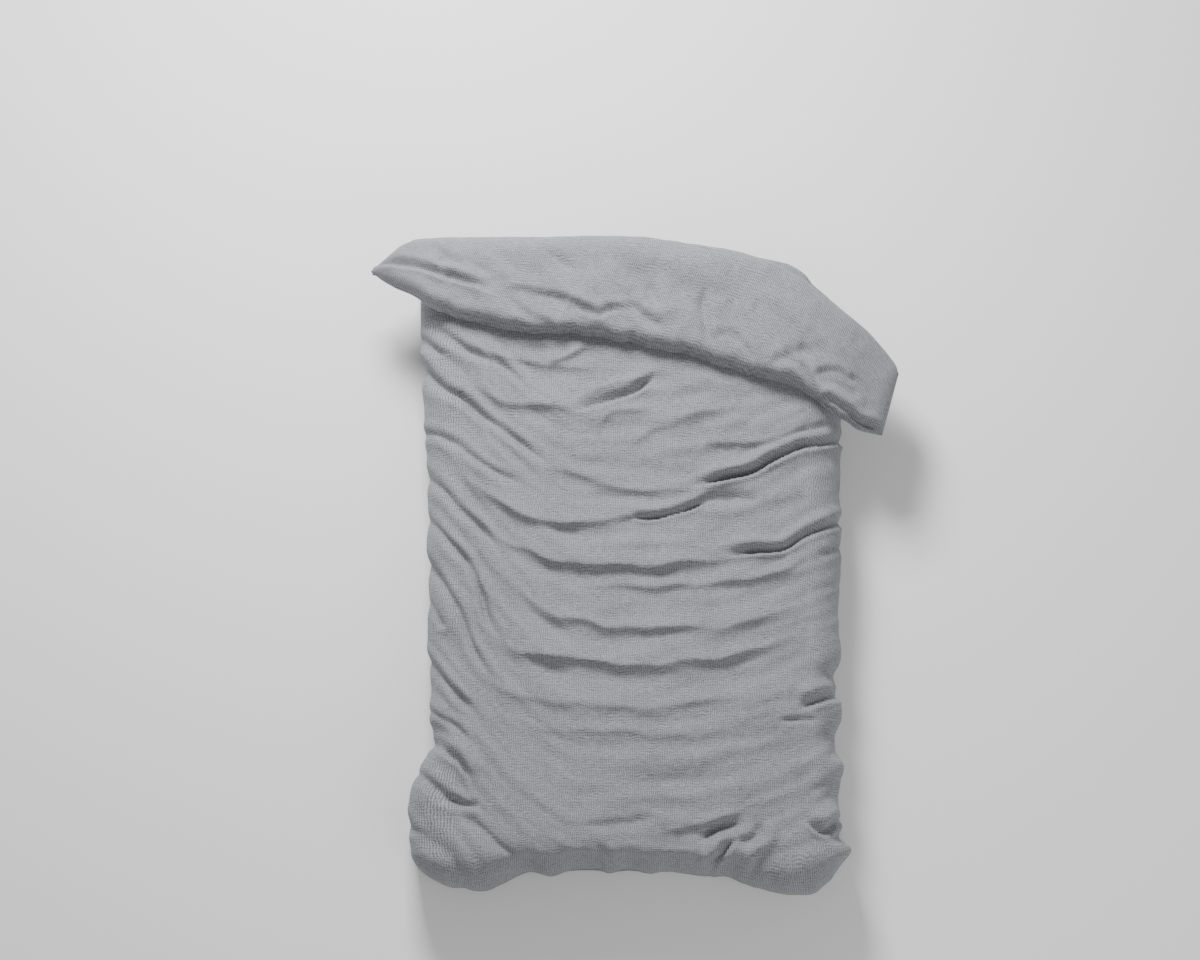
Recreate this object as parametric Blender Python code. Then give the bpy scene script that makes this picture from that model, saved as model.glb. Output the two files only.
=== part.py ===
"""Single duvet in its cover, laid over a bed with its head edge turned back.

Flat places on the duvet are (across, along, depth): across runs from seam to seam, along
runs from the fold crest to the hem, and depth runs from the face that is folded inwards.
"""
from math import cos, pi, radians, sin, sqrt, tan

import bmesh
import bpy
from mathutils import Matrix, Vector

# Overall sizes
cover_width = 1.40
overall_length = 1.71
loft = 0.0675

# The bed edge that the duvet falls over
space_width = 0.998
space_depth = 0.164
bed_edge_radius = 0.036

# Cloth and the clearance between layers
cover_cloth = 0.0015
ticking_cloth = 0.0010
cover_gap = 0.0014
layer_gap = 0.0008
edge_rounding = 0.10
edge_half_thickness = 0.0024

# Insert, sewn through into boxes
insert_margin = 0.030
box_columns = 4
box_rows = 6
dip_run = 0.045
pad_edge_gap = 0.010
pad_edge_half = 0.0008
pad_edge_run = 0.078

# Turned-back edge
turnback_length = 0.270
turnback_corner_length = 0.150
crest_left_reach = 0.600
crest_bend_start = 0.16
crest_bend_end = 0.34
crest_slant = radians(42)
body_slant_start = 0.300
slant_fade = 1.20
corner_run = 0.35
left_corner_turn = radians(32)
right_corner_turn = radians(16)
droop_start = 0.50
wing_droop = 0.045

# Foot opening
opening_width = 0.80
facing_width = 0.026
facing_cloth = 0.0012
facing_lift = 0.002
snap_count = 5
snap_radius = 0.0065
snap_thickness = 0.0024
socket_radius = 0.0030
socket_depth = 0.0014
snap_clearance = 0.0003

# Seam allowances inside the edges
seam_width = 0.008
seam_thickness = 0.0012
seam_inset = 0.0015

# Facets
crest_angles = (radians(6), radians(32), radians(60), radians(90))
arc_steps = 3
snap_steps = 12

half_loft = loft / 2
half_width = cover_width / 2
bend_radius = bed_edge_radius + half_loft
flat_half = space_width / 2 - bed_edge_radius
arc_run = bend_radius * pi / 2
middle_height = space_depth + half_loft
drop = middle_height - bend_radius
crest_y = overall_length / 2
flat_length = overall_length - bend_radius - half_loft
body_length = flat_length + arc_run + drop
hinge_height = space_depth + loft + layer_gap / 2
hem_half_thickness = (cover_cloth + facing_cloth + snap_thickness
                      + 2 * snap_clearance + layer_gap)


def spread(start, end, count):
    """Evenly spaced values from start to end."""
    return [start + (end - start) * k / count for k in range(count + 1)]


def merged(values, apart=0.0045):
    """The values in order, without any that nearly repeats the one before."""
    kept = []
    for value in sorted(values):
        if not kept or value - kept[-1] > apart:
            kept.append(value)
    return kept


def cell_at(lines, x):
    """The cell between lines that holds x, and how far across it x lies."""
    last = len(lines) - 2
    k = 0
    while k < last and x > lines[k + 1]:
        k += 1
    return k, (x - lines[k]) / (lines[k + 1] - lines[k])


def linear(lines, values, x):
    """The value at x on the polyline through lines and values."""
    k, share = cell_at(lines, x)
    return values[k] + (values[k + 1] - values[k]) * share


def splits_forward(low_left, low_right, high_left, high_right, on_left):
    """Whether a four-sided facet folds from its low left to its high right corner.

    It folds along its steeper diagonal, and an even one mirrors its twin across the middle.
    """
    lean = abs(high_right - low_left) - abs(high_left - low_right)
    return lean > 0 if abs(lean) > 1e-6 else not on_left


def eased(start, end, x):
    share = min(max((x - start) / (end - start), 0.0), 1.0)
    return share * share * (3 - 2 * share)


def rounding(distance):
    """Half thickness at a distance from a closed edge."""
    share = min(max(distance / edge_rounding, 0.0), 1.0)
    return edge_half_thickness + (half_loft - edge_half_thickness) * sqrt(1 - (1 - share) ** 2)


# Lines that every layer of the lying part shares where the duvet bends or thins
arc_lines = spread(flat_half, flat_half + arc_run, arc_steps)
side_lines = merged([body_slant_start] + arc_lines
                    + [half_width - 0.08, half_width - insert_margin, half_width])
across_lines = merged([-x for x in side_lines] + [0.0] + side_lines)
crest_lines = [loft * (1 - cos(angle)) for angle in crest_angles]
foot_arc = spread(flat_length, flat_length + arc_run, arc_steps)
along_lines = merged(crest_lines + [slant_fade] + foot_arc
                     + [body_length - 0.08, body_length - insert_margin, body_length])


def overhang_profile(run):
    """Outward reach, fall and tilt of the middle surface past the flat."""
    tilt = min(run / bend_radius, pi / 2)
    below = max(run - arc_run, 0.0)
    return bend_radius * sin(tilt), bend_radius * (1 - cos(tilt)) + below, tilt


def body_frame(across, along):
    """Place and outward normal of the middle surface of the lying part."""
    over_side = max(abs(across) - flat_half, 0.0)
    over_foot = max(along - flat_length, 0.0)
    reach, fall, tilt = overhang_profile(max(over_side, over_foot))
    way = Vector((over_side if across > 0 else -over_side, -over_foot, 0.0))
    way = way.normalized() if way.length > 1e-9 else Vector((0.0, 0.0, 0.0))
    x = max(-flat_half, min(flat_half, across))
    slant = max(across - body_slant_start, 0.0) * tan(crest_slant)
    y = crest_y - min(along, flat_length) - slant * max(1 - along / slant_fade, 0.0)
    place = Vector((x, y, middle_height - fall)) + way * reach
    return place, way * sin(tilt) + Vector((0.0, 0.0, cos(tilt)))


def turnback_frame(across, along):
    """Place and normal of the middle surface of the turned-back part."""
    steps = 60
    x = -crest_left_reach
    y = crest_y
    for k in range(steps):
        middle = -half_width + (across + half_width) * (k + 0.5) / steps
        turn = crest_slant * eased(crest_bend_start, crest_bend_end, middle)
        x += (across + half_width) / steps * cos(turn)
        y -= (across + half_width) / steps * sin(turn)
    left = eased(half_width - corner_run, half_width, -across)
    right = eased(half_width - corner_run, half_width, across)
    turn = left_corner_turn * left + right_corner_turn * right
    length = turnback_length + (turnback_corner_length - turnback_length) * max(left, right)
    run = along * length / turnback_length
    place = Vector((x - run * sin(turn), y - run * cos(turn), 0.0))
    outside = max(abs(place.x) - droop_start, 0.0) / (crest_left_reach + 0.09 - droop_start)
    place.z = hinge_height + layer_gap / 2 + half_loft - wing_droop * outside ** 2
    return place, Vector((0.0, 0.0, -1.0))


def grid_reader(frame, across_nodes, along_nodes):
    """Place and normal between the shared lines, so that every layer keeps to the same facets."""
    table = [[frame(a, b) for b in along_nodes] for a in across_nodes]

    def read(across, along):
        i, u = cell_at(across_nodes, across)
        j, v = cell_at(along_nodes, along)
        mixed = []
        for part in (0, 1):
            near = table[i][j][part].lerp(table[i + 1][j][part], u)
            far = table[i][j + 1][part].lerp(table[i + 1][j + 1][part], u)
            mixed.append(near.lerp(far, v))
        return mixed

    return read


class Half:
    """One of the two bodies: its surface, its lines and its thickness."""

    def __init__(self, frame, across_nodes, along_nodes, length, hem_flat, box_lines):
        self.read = grid_reader(frame, across_nodes, along_nodes)
        self.across_nodes = across_nodes
        self.along_nodes = along_nodes
        self.length = length
        self.hem_flat = hem_flat
        self.box_lines = box_lines
        self.cover_table = [[self.cover_half_at(a, b) for b in along_nodes] for a in across_nodes]
        self.insert_across, self.insert_along = self.insert_lines()
        self.insert_table = [[self.insert_half_at(a, b) for b in self.insert_along]
                             for a in self.insert_across]

    def cover_half_at(self, across, along):
        side = rounding(half_width - abs(across))
        if not self.hem_flat:
            return min(side, rounding(self.length - along))
        past_hem = self.length - along - insert_margin
        hem = hem_half_thickness + rounding(past_hem) - edge_half_thickness
        return min(side, max(hem, hem_half_thickness), half_loft)

    def cover_half(self, across, along):
        rows = [linear(self.along_nodes, row, along) for row in self.cover_table]
        return linear(self.across_nodes, rows, across)

    def insert_lines(self):
        """Lines of the insert: the shared ones, and those of its quilting."""
        across = [x for x in self.across_nodes if abs(x) <= half_width - insert_margin + 1e-6]
        for x in column_lines()[1:-1]:
            across += [x - dip_run, x, x + dip_run]
        end = self.length - insert_margin
        along = [y for y in self.along_nodes if y <= end + 1e-6]
        for y in self.box_lines:
            along += [y - dip_run, y, y + dip_run]
        return merged(across), merged(along)

    def insert_half(self, across, along):
        """Outer half thickness of the insert on the flat triangles between its lines."""
        i, u = cell_at(self.insert_across, across)
        j, v = cell_at(self.insert_along, along)
        near, far = self.insert_table[i], self.insert_table[i + 1]
        if splits_forward(near[j], far[j], near[j + 1], far[j + 1], across < 0):
            if u >= v:
                return near[j] + (far[j] - near[j]) * u + (far[j + 1] - far[j]) * v
            return near[j] + (near[j + 1] - near[j]) * v + (far[j + 1] - near[j + 1]) * u
        if u + v <= 1:
            return near[j] + (far[j] - near[j]) * u + (near[j + 1] - near[j]) * v
        return (far[j + 1] + (near[j + 1] - far[j + 1]) * (1 - u)
                + (far[j] - far[j + 1]) * (1 - v))

    def insert_half_at(self, across, along):
        """Outer half thickness of the insert, thin at its edges and along its quilting."""
        room = self.cover_half(across, along) - cover_cloth - cover_gap
        seam = ticking_cloth + layer_gap / 2
        edge = min(half_width - insert_margin - abs(across),
                   self.length - insert_margin - along)
        own = seam + rounding(edge) - edge_half_thickness
        columns = column_lines()
        near = min([abs(across - x) for x in columns[1:-1]]
                   + [abs(along - y) for y in self.box_lines])
        dip = seam + near * (half_loft - seam) / dip_run
        return max(min(room, own, dip), seam)


def column_lines():
    return spread(-half_width + insert_margin, half_width - insert_margin, box_columns)


def depth_place(half, across, along, offset, half_thickness, outer_face):
    """A point on one face of a layer, with the outer face carried round the crest."""
    middle = half_loft
    shift = along
    for angle, line in zip(crest_angles, crest_lines):
        if abs(along - line) < 1e-6:
            arc_depth = (loft - offset) * sin(angle)
            middle = (offset + arc_depth) / 2
            half_thickness = min(half_thickness, (arc_depth - offset) / 2)
            shift = loft - (loft - offset) * cos(angle)
    depth = middle + half_thickness if outer_face else middle - half_thickness
    place, normal = half.read(across, shift)
    return place + normal * (half_loft - depth)


def layer(name, half, across, along, faces, material):
    """A closed solid between two faces given as (offset, half thickness, outer) functions."""
    mesh = bpy.data.meshes.new(name)
    bm = bmesh.new()
    columns = len(across) - 1
    rows = len(along) - 1
    bmesh.ops.create_grid(bm, x_segments=columns, y_segments=rows, size=1.0)
    flat = list(bm.faces)
    extruded = bmesh.ops.extrude_face_region(bm, geom=flat, use_keep_orig=True)["geom"]
    upper = {item for item in extruded if isinstance(item, bmesh.types.BMVert)}
    where = {v: (round((v.co.x + 1) / 2 * columns), round((v.co.y + 1) / 2 * rows))
             for v in bm.verts}
    reach = {}
    for v, (i, j) in where.items():
        offset, thickness, outer = faces[v in upper]
        reach[v] = thickness(across[i], along[j])
        v.co = depth_place(half, across[i], along[j], offset, reach[v], outer)
    for face in list(bm.faces):
        corners = sorted(face.verts, key=lambda v: (where[v][1], where[v][0]))
        if len({where[v] for v in corners}) < 4:
            continue
        on_left = across[where[corners[0]][0]] < 0
        forward = splits_forward(*[reach[v] for v in corners], on_left)
        pair = (corners[0], corners[3]) if forward else (corners[1], corners[2])
        bmesh.utils.face_split(face, *pair)
    bmesh.ops.triangulate(bm, faces=list(bm.faces))
    bmesh.ops.recalc_face_normals(bm, faces=list(bm.faces))
    bm.to_mesh(mesh)
    bm.free()
    return add_piece(name, mesh, material)


def add_piece(name, mesh, material):
    obj = bpy.data.objects.new(name, mesh)
    part_collection.objects.link(obj)
    obj.data.materials.append(material)
    return obj


def make_material(name, colour, roughness, metallic=0.0):
    material = bpy.data.materials.new(name)
    material.use_nodes = True
    shader = material.node_tree.nodes["Principled BSDF"]
    shader.inputs["Base Color"].default_value = (*colour, 1.0)
    shader.inputs["Roughness"].default_value = roughness
    shader.inputs["Metallic"].default_value = metallic
    return material


def cover_layers(prefix, half, names):
    """The two cover panels of one body, folded-in face first."""
    across = half.across_nodes
    along = half.along_nodes

    def outer(a, b):
        return half.cover_half(a, b)

    def inner(a, b):
        return half.cover_half(a, b) - cover_cloth

    pieces = []
    for name, is_outer in zip(names, (False, True)):
        faces = ((0.0, outer, is_outer), (cover_cloth, inner, is_outer))
        pieces.append(layer(prefix + name, half, across, along, faces, cover_material))
    return pieces


def insert_layers(prefix, half, names):
    across = half.insert_across
    along = half.insert_along
    start = cover_cloth + cover_gap

    def outer(a, b):
        return half.insert_half(a, b)

    def inner(a, b):
        return half.insert_half(a, b) - ticking_cloth

    pieces = []
    for name, is_outer in zip(names, (False, True)):
        faces = ((start, outer, is_outer), (start + ticking_cloth, inner, is_outer))
        pieces.append(layer(prefix + name, half, across, along, faces, ticking_material))
    return pieces


def pad_lines(start, end, shared):
    """Lines of one pad: its edges, where its edges are full, and the shared lines between."""
    own = [start, start + pad_edge_run, end - pad_edge_run, end]
    between = [x for x in shared if start + 0.004 < x < end - 0.004]
    return merged(own + [x for x in between if min(abs(x - y) for y in own) > 0.004])


def fill_pads(prefix, half):
    """One pad of filling in each sewn box."""
    columns = column_lines()
    ends = [crest_lines[-1] - pad_edge_gap + layer_gap] + half.box_lines
    ends.append(half.length - insert_margin)
    slope = (half_loft - pad_edge_half) / pad_edge_run
    offset = cover_cloth + cover_gap + ticking_cloth + layer_gap
    pieces = []
    for r in range(len(ends) - 1):
        low = ends[r] + pad_edge_gap
        high = ends[r + 1] - pad_edge_gap
        for c in range(box_columns):
            left = columns[c] + pad_edge_gap
            right = columns[c + 1] - pad_edge_gap

            def surface(a, b):
                edge = min(a - left, right - a, b - low, high - b)
                return min(half.insert_half(a, b) - ticking_cloth - layer_gap,
                           pad_edge_half + slope * edge)

            faces = ((offset, surface, False), (offset, surface, True))
            name = f"{prefix}fill_pad_{r + 1}_{c + 1}"
            pieces.append(layer(name, half, pad_lines(left, right, half.across_nodes),
                                pad_lines(low, high, half.along_nodes), faces, fill_material))
    return pieces


def seam_strip(name, half, across, along):
    """A strip of stitched seam allowance between the two panels."""
    def middle(a, b):
        return seam_thickness / 2

    faces = ((0.0, middle, False), (0.0, middle, True))
    return layer(name, half, across, along, faces, thread_material)


def edge_seams(prefix, half, ends):
    """Seam allowances down both sides, and across the far edge where it is sewn shut."""
    outer = half_width - seam_inset
    inner = outer - seam_width
    far = half.length - seam_inset
    corner = seam_width + 2 * layer_gap
    side = [y for y in half.along_nodes if crest_lines[1] < y < far - corner - 0.004]
    side = side + [far - corner]
    pieces = [
        seam_strip(prefix + "left_side_seam", half, [-outer, -inner], side),
        seam_strip(prefix + "right_side_seam", half, [inner, outer], side),
    ]
    for name, start, end in ends:
        between = [x for x in half.across_nodes if start + 0.004 < x < end - 0.004]
        across = [start] + between + [end]
        pieces.append(seam_strip(prefix + name, half, across, [far - seam_width, far]))
    return pieces


def foot_facings():
    """Hem facings that carry the snaps, one inside each panel of the foot opening."""
    middle_y = crest_y - flat_length - bend_radius
    offset = hem_half_thickness - cover_cloth - layer_gap / 2 - facing_cloth / 2
    size = (opening_width, facing_cloth, facing_width)
    pieces = []
    for name, way in (("foot_facing_upper", -1), ("foot_facing_under", 1)):
        mesh = bpy.data.meshes.new(name)
        bm = bmesh.new()
        place = Vector((0.0, middle_y + way * offset, facing_lift + facing_width / 2))
        matrix = Matrix.Translation(place) @ Matrix.Diagonal((*size, 1.0))
        bmesh.ops.create_cube(bm, size=1.0, matrix=matrix)
        bm.to_mesh(mesh)
        bm.free()
        pieces.append(add_piece(name, mesh, cover_material))
    return pieces


def turned(name, profile, place, way, material):
    """A turned solid about the Y axis, with its profile as (radius, height) points."""
    mesh = bpy.data.meshes.new(name)
    bm = bmesh.new()
    verts = [bm.verts.new((radius, 0.0, height)) for radius, height in profile]
    edges = [bm.edges.new(pair) for pair in zip(verts, verts[1:])]
    bmesh.ops.spin(bm, geom=verts + edges, cent=(0, 0, 0), axis=(0, 0, 1), dvec=(0, 0, 0),
                   angle=2 * pi, steps=snap_steps, use_merge=True)
    bmesh.ops.remove_doubles(bm, verts=list(bm.verts), dist=0.00001)
    bmesh.ops.transform(bm, verts=list(bm.verts),
                        matrix=Matrix.Translation(place) @ Matrix.Rotation(way * pi / 2, 4, "X"))
    bmesh.ops.recalc_face_normals(bm, faces=list(bm.faces))
    bm.to_mesh(mesh)
    bm.free()
    return add_piece(name, mesh, material)


def foot_snaps():
    """Press studs along the foot opening: a stud on one facing, its socket on the other."""
    middle_y = crest_y - flat_length - bend_radius
    height = facing_lift + facing_width / 2
    base = snap_thickness + snap_clearance / 2
    face = snap_clearance / 2
    nub = socket_radius - snap_clearance
    nub_end = -(socket_depth - snap_clearance - face)
    stud = [(0.0, base), (snap_radius, base), (snap_radius, face), (nub, face), (nub, nub_end),
            (0.0, nub_end)]
    socket = [(0.0, base), (snap_radius, base), (snap_radius, face), (socket_radius, face),
              (socket_radius, face + socket_depth), (0.0, face + socket_depth)]
    pitch = opening_width / snap_count
    pieces = []
    for k in range(snap_count):
        place = Vector(((k - (snap_count - 1) / 2) * pitch, middle_y, height))
        pieces.append(turned(f"snap_stud_{k + 1}", stud, place, 1, snap_material))
        pieces.append(turned(f"snap_socket_{k + 1}", socket, place, -1, snap_material))
    return pieces


for old in list(bpy.data.objects):
    bpy.data.objects.remove(old, do_unlink=True)
part_collection = bpy.data.collections.new("duvet_on_bed")
bpy.context.scene.collection.children.link(part_collection)

cover_material = make_material("cover_cotton", (0.36, 0.365, 0.38), 0.92)
ticking_material = make_material("insert_ticking", (0.86, 0.86, 0.84), 0.85)
fill_material = make_material("fibre_filling", (0.92, 0.92, 0.90), 1.0)
thread_material = make_material("seam_thread", (0.40, 0.40, 0.42), 0.9)
snap_material = make_material("snap_plastic", (0.80, 0.80, 0.80), 0.4)

body_boxes = spread(0.0, body_length - insert_margin, box_rows)[1:-1]
body = Half(body_frame, across_lines, along_lines, body_length, True, body_boxes)
turnback_along = merged(crest_lines + [turnback_length - 0.08, turnback_length - insert_margin,
                                       turnback_length])
turnback_across = merged(across_lines + [-crest_bend_end, crest_bend_start, crest_bend_end])
turnback = Half(turnback_frame, turnback_across, turnback_along, turnback_length, False, [])

cover_layers("", body, ("cover_top_panel", "cover_under_panel"))
insert_layers("", body, ("insert_top_ticking", "insert_under_ticking"))
fill_pads("", body)
half_opening = opening_width / 2 + 0.004
seam_end = half_width - seam_inset - seam_width
edge_seams("", body, (("foot_seam_left", -seam_end, -half_opening),
                      ("foot_seam_right", half_opening, seam_end)))
foot_facings()
foot_snaps()

moving = cover_layers("turnback_", turnback, ("top_panel", "under_panel"))
moving += insert_layers("turnback_", turnback, ("top_ticking", "under_ticking"))
moving += fill_pads("turnback_", turnback)
moving += edge_seams("turnback_", turnback, (("head_seam", -seam_end, seam_end),))

# Centre the whole part across, and hang the turned-back pieces on their fold line
points = [v.co for obj in part_collection.objects for v in obj.data.vertices]
centre = (min(p.x for p in points) + max(p.x for p in points)) / 2
fold = bpy.data.objects.new("turnback_fold_line", None)
fold.location = (0.0, crest_y, hinge_height)
part_collection.objects.link(fold)
for obj in part_collection.objects:
    if obj.type != "MESH":
        continue
    offset = Vector((-centre, 0.0, 0.0))
    if obj in moving:
        offset -= Vector(fold.location)
        obj.parent = fold
    obj.data.transform(Matrix.Translation(offset))
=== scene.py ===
from math import cos, pi, radians, sin

import bmesh
import bpy
import numpy as np
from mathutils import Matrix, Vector, noise


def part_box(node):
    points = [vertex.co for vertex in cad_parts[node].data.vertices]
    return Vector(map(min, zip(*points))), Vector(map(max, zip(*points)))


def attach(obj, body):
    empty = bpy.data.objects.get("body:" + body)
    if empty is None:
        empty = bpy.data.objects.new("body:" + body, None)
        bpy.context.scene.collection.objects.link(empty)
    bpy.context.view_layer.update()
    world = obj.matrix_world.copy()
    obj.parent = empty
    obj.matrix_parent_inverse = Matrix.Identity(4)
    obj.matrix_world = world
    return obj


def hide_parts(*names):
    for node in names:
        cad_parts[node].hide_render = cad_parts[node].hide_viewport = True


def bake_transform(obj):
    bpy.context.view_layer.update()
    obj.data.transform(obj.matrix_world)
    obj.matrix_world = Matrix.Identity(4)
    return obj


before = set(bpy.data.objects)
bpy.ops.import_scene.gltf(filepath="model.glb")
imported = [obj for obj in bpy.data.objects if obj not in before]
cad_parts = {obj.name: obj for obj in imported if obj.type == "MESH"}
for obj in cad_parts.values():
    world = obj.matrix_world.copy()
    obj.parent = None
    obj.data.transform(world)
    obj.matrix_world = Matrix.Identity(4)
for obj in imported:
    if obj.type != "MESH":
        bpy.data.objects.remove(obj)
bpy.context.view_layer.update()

coverLow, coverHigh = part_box("cover_top_panel")

# across runs from seam to seam, along from the fold crest to the hem,
# depth along the outward normal
duvet = {
    "coverWidth": 1.40,
    "loft": 0.0675,
    "bedEdge": 0.036,
    "spacing": 0.0056,  # grid of the cover
    "edgeRound": 0.10,  # how far in from a seam the filling is full
    "seamHalf": 0.0022,
    "slantFade": 1.20,
    "hemPinch": 0.012,  # half thickness where the opening is snapped shut
    "cornerPower": 8,
    "foldDepth": 1.15,
    "coveredFade": 0.10,  # how fast the folds end under the turned-back edge
    "coveredPast": 0.03,
    "thinFolds": 0.35,  # share of the folds left where the cover is thin
    "thinHalf": (0.006, 0.026),  # half thickness from which and to which they grow
    "overhangLoss": 0.6,  # share of the folds lost on the overhang
    "underFollows": 0.35,  # share of the side outline that the under face takes
    "hemReach": 0.10,
    "hemFollows": 0.4,
    "hemApart": 0.006,  # least distance between the faces at the hem
    "lowest": 0.0012,
}
halfWidth = duvet["coverWidth"] / 2
halfLoft = duvet["loft"] / 2
bend = duvet["bedEdge"] + halfLoft
arcRun = bend * pi / 2
crestY = coverHigh[1]
middleZ = coverHigh[2] - halfLoft
flatHalf = coverHigh[0] - bend - halfLoft
flatLength = crestY - coverLow[1] - bend - halfLoft
alongEnd = flatLength + arcRun + middleZ - bend
hingeZ = coverHigh[2] + 0.0004


def smooth(start, end, x):
    share = np.clip((x - start) / (end - start), 0, 1)
    return share * share * (3 - 2 * share)


def rounded(distance, reach):
    share = np.clip(distance / reach, 0, 1)
    return np.sqrt(1 - (1 - share) ** 2)


def curveThrough(points, steps=10):  # a smooth curve through given points
    points = np.array(points, float)
    ends = np.vstack([2 * points[0] - points[1], points, 2 * points[-1] - points[-2]])
    t = np.linspace(0, 1, steps, endpoint=False)[:, None]
    runs = []
    for k in range(len(points) - 1):
        a, b, c, d = ends[k:k + 4]
        runs.append(0.5 * (2 * b + (c - a) * t + (2 * a - 5 * b + 4 * c - d) * t ** 2
                           + (3 * b - a - 3 * c + d) * t ** 3))
    return np.vstack(runs + [points[-1:]])


def valuesAlong(points, x):  # a smooth curve read as a height over its first number
    curve = curveThrough(points, 6)
    order = np.argsort(curve[:, 0])
    return np.interp(x, curve[order, 0], curve[order, 1])


def hollow(d, centre, width):
    return np.exp(-((d - centre) / width) ** 2)


# Cross-sections of a fold; d is the distance from its line in widths, positive towards the foot
foldProfiles = {
    # a thin groove between two soft rolls
    "crease": lambda d: (0.42 * hollow(d, -2.1, 1.4) + 0.34 * hollow(d, 2.2, 1.5)
                         - np.exp(-np.abs(d) ** 1.15)),
    # a sharp edge that drops on its foot side into a wide hollow
    "ridge": lambda d: np.where(d < 0, 0.8 * np.exp(-np.abs(d / 2.4) ** 1.3),
                                1.7 * np.exp(-np.abs(d / 0.8) ** 1.3)
                                - np.exp(-np.abs(d / 3.0) ** 1.7)),
    # a roll that comes down on a thin raised edge
    "lip": lambda d: np.where(d < 0, 0.95 * hollow(d, -3.2, 1.7) - np.exp(-np.abs(d / 1.5) ** 1.3),
                              0.6 * hollow(d, 1.0, 0.8) + 0.15 * hollow(d, 2.5, 1.5)
                              - 1.13 * np.exp(-np.abs(d / 0.45) ** 1.5)),
    # a broad soft roll
    "roll": lambda d: hollow(d, 0, 1.6) - 0.35 * hollow(d, 2.8, 1.5),
}


foldNoise = {
    "wanderScale": 0.085,
    "wander": 0.7,  # in widths of the fold
    "varyScale": 0.11,
    "vary": 0.7,
    "usual": 1.05,
    "reach": 7,  # in widths of the fold
    "endFade": 0.25,  # share of the length over which an open end fades
    "edge": 0.49,  # a fold that starts past this runs on over the side
}


def creases(x, y, folds):
    # each fold is (kind, depth, width, path)
    height = np.zeros_like(x)
    wander = crumple(x, y, foldNoise["wanderScale"], 9.1)
    vary = crumple(x, y, foldNoise["varyScale"], 2.7)
    for kind, depth, width, path in folds:
        if path[-1][0] < path[0][0]:
            path = path[::-1]
        curve = curveThrough(path)
        reach = foldNoise["reach"] * width
        near = ((x > curve[:, 0].min() - reach) & (x < curve[:, 0].max() + reach)
                & (y > curve[:, 1].min() - reach) & (y < curve[:, 1].max() + reach))
        if not near.any():
            continue
        px, py = x[near], y[near]
        best = np.full(px.shape, 1e9)
        side = np.ones_like(px)
        share = np.zeros_like(px)
        lengths = np.hypot(*(curve[1:] - curve[:-1]).T)
        gone = np.concatenate([[0], np.cumsum(lengths)])
        for k in range(len(curve) - 1):
            a, b = curve[k], curve[k + 1]
            way = (b - a) / max(lengths[k], 1e-9)
            dx, dy = px - a[0], py - a[1]
            s = np.clip(dx * way[0] + dy * way[1], 0, lengths[k])
            away = np.hypot(dx - way[0] * s, dy - way[1] * s)
            closer = away < best
            best = np.where(closer, away, best)
            side = np.where(closer, np.where(way[0] * dy - way[1] * dx > 0, -1, 1), side)
            share = np.where(closer, (gone[k] + s) / gone[-1], share)
        edge, fade = foldNoise["edge"], foldNoise["endFade"]
        begin = 1 if abs(curve[0][0]) > edge else smooth(0, fade, share)
        finish = 1 if abs(curve[-1][0]) > edge else smooth(0, fade, 1 - share)
        d = best * side / width + foldNoise["wander"] * wander[near]
        strength = foldNoise["usual"] + foldNoise["vary"] * vary[near]
        height[near] += foldProfiles[kind](d) * depth * begin * finish * strength
    return height


def crumple(x, y, scale, seed):  # soft unevenness of the filling
    out = np.empty(len(x))
    for k, (u, v) in enumerate(zip(x, y)):
        out[k] = noise.noise(Vector((u / scale, v / scale, seed)))
    return out


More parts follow.
